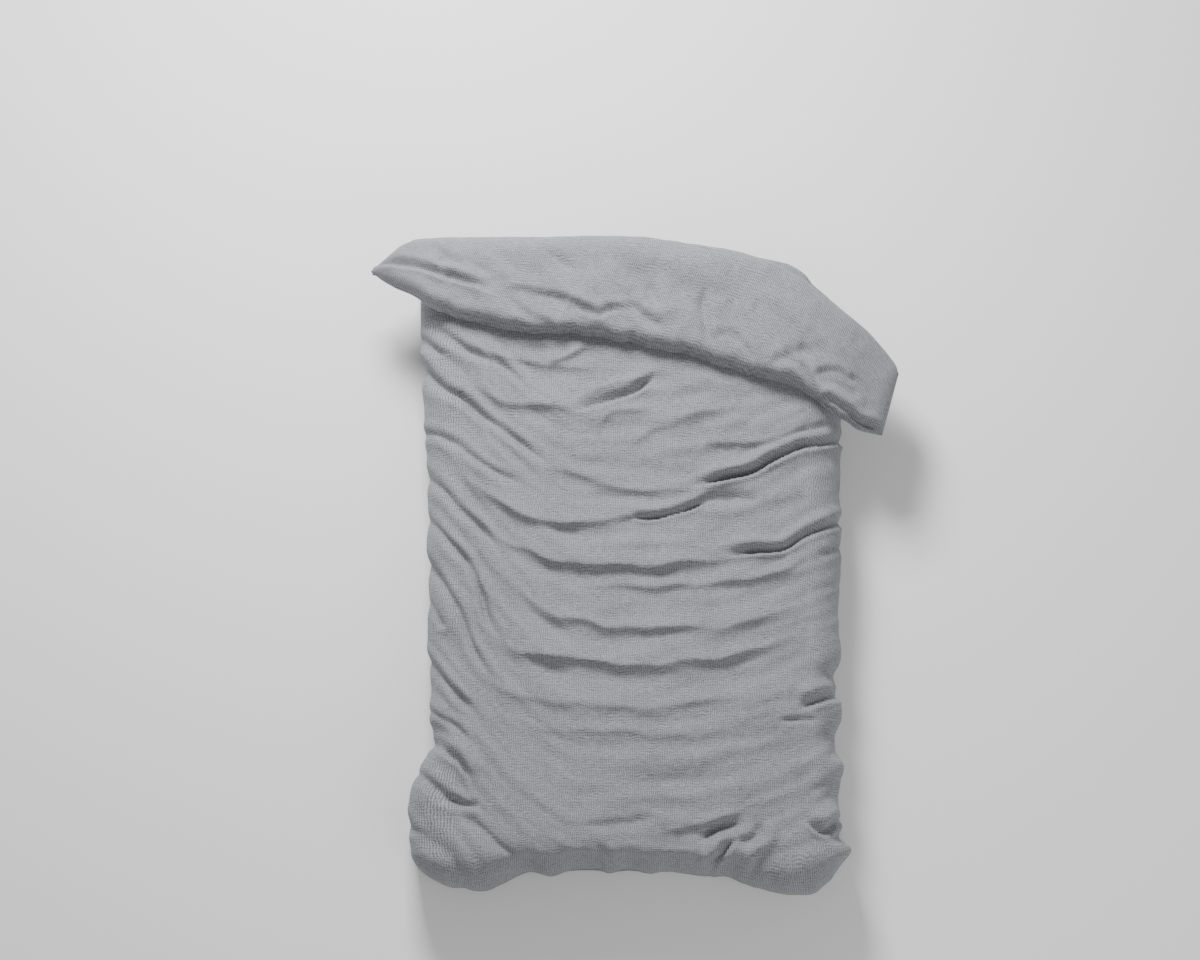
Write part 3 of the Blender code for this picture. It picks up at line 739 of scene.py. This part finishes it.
# The cover of the turned-back edge
flapAcross = np.linspace(0, 1, round(duvet["coverWidth"] / turnback["spacing"]))
flapAlong = np.concatenate([(1 - np.cos(np.linspace(0.08, 1, 8) * pi / 2)) * 0.22,
                            np.linspace(0.22, 0.84, 22)[1:],
                            1 - 0.16 * (1 - np.sin(np.linspace(0, 1, 9) * pi / 2))[1:]])
flapSwelling = None
coarseAcross = np.linspace(0, 1, 120)
coarseAlong = flapAlong[::2] if len(flapAlong) % 2 else np.append(flapAlong[::2], 1.0)
flapSwelling = spreadOver(swollen(flapPlace, coarseAcross, coarseAlong), coarseAcross,
                          coarseAlong, flapAcross, flapAlong)
turnbackCover = closedShell("turnbackCover", flapPlace, flapAcross, flapAlong,
                            uvScale=(duvet["coverWidth"], 0.27), moved=flapSwelling)
turnbackCover.data.materials.append(cottonCover)
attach(turnbackCover, "turned_back_edge")
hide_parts("turnback_top_panel", "turnback_under_panel")
print("turned-back cover made")

# Cloth carried round the straight part of the fold, so that there is no gap there
foldBand = {"left": -0.585, "right": 0.10, "reach": 0.026, "proud": 0.0006, "cloth": 0.0012}


def bandPlace(across, along, share):
    # across in metres, along from -1 under the fold line to 1 above it
    rise = along * foldBand["reach"]
    radius = duvet["loft"]
    back = np.interp(across, crestCurve[:, 0], crestCurve[:, 1])
    y = back - (radius - np.sqrt(radius ** 2 - rise ** 2))
    tuck = 0.004 * np.abs(along) ** 6
    y = y + foldBand["proud"] - tuck + foldBand["cloth"] * (share - 1) / 2
    z = hingeZ + rise - valuesAlong(turnback["droop"], across) * (1 + along) / 2
    return np.stack([across, y, z], -1)


bandAcross = np.linspace(foldBand["left"], foldBand["right"], 110)
foldCloth = closedShell("foldCloth", bandPlace, bandAcross, np.linspace(-1, 1, 17),
                        uvScale=(1, foldBand["reach"]))
foldCloth.data.materials.append(cottonCover)
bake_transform(foldCloth)
print("fold cloth made")

# Stitch rows in Geometry Nodes
stitch = {"pitch": 0.0042, "length": 0.0028, "thick": 0.0007, "inset": 0.016, "proud": 0.0002,
          "bodyMargin": 14, "flapMargin": 3}  # columns left free at each end


def stitchTree(material):
    tree = bpy.data.node_groups.new("stitchRow", "GeometryNodeTree")
    tree.interface.new_socket("Geometry", in_out="INPUT", socket_type="NodeSocketGeometry")
    for name in ("Pitch", "Length", "Thick"):
        tree.interface.new_socket(name, in_out="INPUT", socket_type="NodeSocketFloat")
    tree.interface.new_socket("Geometry", in_out="OUTPUT", socket_type="NodeSocketGeometry")

    def node(kind, **settings):
        made = tree.nodes.new(kind)
        for key, value in settings.items():
            setattr(made, key, value)
        return made

    start, end = node("NodeGroupInput"), node("NodeGroupOutput")
    curve, even = node("GeometryNodeMeshToCurve"), node("GeometryNodeResampleCurve", mode="LENGTH")
    tangent = node("GeometryNodeInputTangent")
    turn = node("FunctionNodeAlignRotationToVector", axis="Z")
    thread = node("GeometryNodeMeshCylinder", fill_type="TRIANGLE_FAN")
    thread.inputs["Vertices"].default_value = 6
    place, real = node("GeometryNodeInstanceOnPoints"), node("GeometryNodeRealizeInstances")
    finish = node("GeometryNodeSetMaterial")
    finish.inputs["Material"].default_value = material
    for source, target in (
            (start.outputs["Geometry"], curve.inputs["Mesh"]),
            (curve.outputs["Curve"], even.inputs["Curve"]),
            (start.outputs["Pitch"], even.inputs["Length"]),
            (even.outputs["Curve"], place.inputs["Points"]),
            (start.outputs["Length"], thread.inputs["Depth"]),
            (start.outputs["Thick"], thread.inputs["Radius"]),
            (thread.outputs["Mesh"], place.inputs["Instance"]),
            (tangent.outputs["Tangent"], turn.inputs["Vector"]),
            (turn.outputs["Rotation"], place.inputs["Rotation"]),
            (place.outputs["Instances"], real.inputs["Geometry"]),
            (real.outputs["Geometry"], finish.inputs["Geometry"]),
            (finish.outputs["Geometry"], end.inputs["Geometry"])):
        tree.links.new(source, target)
    return tree


def stitchRow(name, points, tree, body):
    path = bpy.data.meshes.new(name + "Path")
    path.from_pydata([tuple(point) for point in points],
                     [(k, k + 1) for k in range(len(points) - 1)], [])
    obj = bpy.data.objects.new(name + "Path", path)
    bpy.context.scene.collection.objects.link(obj)
    modifier = obj.modifiers.new("stitches", "NODES")
    modifier.node_group = tree
    sizes = {"Pitch": stitch["pitch"], "Length": stitch["length"], "Thick": stitch["thick"] / 2}
    for item in tree.interface.items_tree:
        if item.in_out == "INPUT" and item.name in sizes:
            modifier[item.identifier] = sizes[item.name]
    bpy.context.view_layer.update()
    evaluated = obj.evaluated_get(bpy.context.evaluated_depsgraph_get())
    mesh = bpy.data.meshes.new_from_object(evaluated)
    mesh.name = name
    row = bpy.data.objects.new(name, mesh)
    bpy.context.scene.collection.objects.link(row)
    bpy.data.objects.remove(obj, do_unlink=True)
    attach(row, body)
    return row


def gridPoints(obj, rows, picks):  # just off the face that shows, by their place in its grid
    vertices = [obj.data.vertices[i * rows + j] for i, j in picks]
    return [vertex.co + vertex.normal * stitch["proud"] for vertex in vertices]


stitches = stitchTree(overlockThread)
hemRow = len(bodyAlong) - 1 - round(stitch["inset"] / duvet["spacing"])
bodyColumns = range(stitch["bodyMargin"], len(bodyAcross) - stitch["bodyMargin"])
stitchRow("hemStitches", gridPoints(duvetCover, len(bodyAlong), [(i, hemRow) for i in bodyColumns]),
          stitches, "duvet")
flapColumns = range(stitch["flapMargin"], len(flapAcross) - stitch["flapMargin"])
stitchRow("turnbackStitches", gridPoints(turnbackCover, len(flapAlong),
                                         [(i, len(flapAlong) - 2) for i in flapColumns]),
          stitches, "turned_back_edge")
print("stitches made")

# The open corner at the left tip of the turned-back edge
cornerFold = {"tip": (-.684, .772), "inner": (-.645, .764), "across": 0.011, "high": 0.0075,
              "cloth": 0.0016, "tipDrop": 0.034, "innerDrop": 0.008}


def cornerPlace(around, along, share):
    # a short flattened tube of cloth, open at the tip
    tip = np.array([*cornerFold["tip"], hingeZ - cornerFold["tipDrop"]])
    inner = np.array([*cornerFold["inner"], hingeZ - cornerFold["innerDrop"]])
    middle = tip + (inner - tip) * along[:, None]
    way = (inner - tip) / np.linalg.norm(inner - tip)
    sideways = np.cross(way, (0, 0, 1))
    sideways /= np.linalg.norm(sideways)
    upward = np.cross(sideways, way)
    angle = around * 2 * pi
    wide = cornerFold["across"] * (1 + 0.25 * np.sin(angle * 2 + 0.6)) * (1 + 0.4 * along)
    high = cornerFold["high"] * (1 + 0.18 * np.cos(angle * 3)) * (1 + 0.6 * along)
    inset = (1 - share) / 2 * cornerFold["cloth"]
    return (middle + sideways * ((wide - inset) * np.cos(angle))[:, None]
            + upward * ((high - inset) * np.sin(angle))[:, None])


cornerTube = closedShell("cornerFold", cornerPlace, np.linspace(0, 0.97, 40), np.linspace(0, 1, 12),
                         uvScale=(0.06, 0.04))
cornerTube.data.materials.append(cottonCover)
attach(cornerTube, "turned_back_edge")
print("corner fold made")

for name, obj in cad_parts.items():
    if not name.startswith("cover_") and name not in ("turnback_top_panel", "turnback_under_panel"):
        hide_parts(name)

# Floor, light and camera
studio = {
    "elevation": radians(80),
    "distance": 8.0,
    "wide": 3.125,  # width of the view at the duvet
    "aim": (-0.0885, 0.2115, 0.20),
    "world": 0.37,
    "lights": (  # name, place, size and power
        ("keyLight", (-0.75, 2.75, 2.65), 1.1, 228),
        ("fillLight", (2.0, -2.6, 3.0), 3.0, 50),
    ),
}


def makeStudio():
    floorMaterial = Finish("paleFloor", (0.93, 0.93, 0.93), 0.9).material
    mesh = bpy.data.meshes.new("floor")
    bm = bmesh.new()
    bmesh.ops.create_grid(bm, x_segments=1, y_segments=1, size=12)
    bm.to_mesh(mesh)
    bm.free()
    floor = bpy.data.objects.new("floor", mesh)
    floor.location.z = -0.002
    floor.data.materials.append(floorMaterial)
    bpy.context.scene.collection.objects.link(floor)
    world = bpy.data.worlds.new("studioWorld")
    world.use_nodes = True
    world.node_tree.nodes["Background"].inputs[0].default_value = (1, 1, 1, 1)
    world.node_tree.nodes["Background"].inputs[1].default_value = studio["world"]
    bpy.context.scene.world = world
    for name, place, size, power in studio["lights"]:
        data = bpy.data.lights.new(name, "AREA")
        data.size = size
        data.energy = power
        lamp = bpy.data.objects.new(name, data)
        lamp.location = place
        towards = Vector((0, 0, 0.1)) - Vector(place)
        lamp.rotation_euler = towards.to_track_quat("-Z", "Y").to_euler()
        bpy.context.scene.collection.objects.link(lamp)
    data = bpy.data.cameras.new("camera")
    camera = bpy.data.objects.new("camera", data)
    aim = Vector(studio["aim"])
    away = Vector((0, -cos(studio["elevation"]), sin(studio["elevation"]))) * studio["distance"]
    camera.location = aim + away
    camera.rotation_euler = (-away).to_track_quat("-Z", "Y").to_euler()
    data.sensor_width = 36
    data.lens = 36 * studio["distance"] / studio["wide"]
    bpy.context.scene.collection.objects.link(camera)
    bpy.context.scene.camera = camera


makeStudio()
print("studio made")
